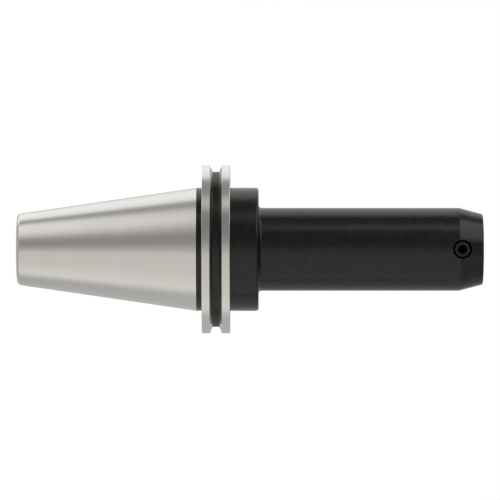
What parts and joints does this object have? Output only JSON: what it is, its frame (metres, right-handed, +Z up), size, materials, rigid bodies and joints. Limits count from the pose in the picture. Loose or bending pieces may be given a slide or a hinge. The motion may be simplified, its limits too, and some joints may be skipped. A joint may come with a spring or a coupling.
{
  "type": "modular master shank",
  "caption": "Steep-taper spindle shank with a slotted V-flange and a slim black nose whose socket takes a boring module, clamped by a radial screw.",
  "frame": {"origin": "centre of the taper's small end face, on which the shank stands", "axes": "+Z up the spindle axis towards the nose, the two drive slots face +X and -X, and the clamp screw faces -Y"},
  "size_m": [0.0948, 0.0984, 0.2638],
  "materials": {
    "ground_steel": "fine ground on the taper and the flange, and black oxide on the neck, the groove, the drive slots, the collar and the nose",
    "black_oxide": "satin black oxide on hardened steel"
  },
  "bodies": {
    "shank": {"shank_body": "ground_steel"},
    "clamp_screw": {"clamp_screw": "black_oxide"}
  },
  "joints": [
    {"name": "clamp_screw_travel", "type": "slide", "parent": "shank", "child": "clamp_screw", "axis": [0, 1, 0], "range_m": [0, 0.0035]}
  ]
}
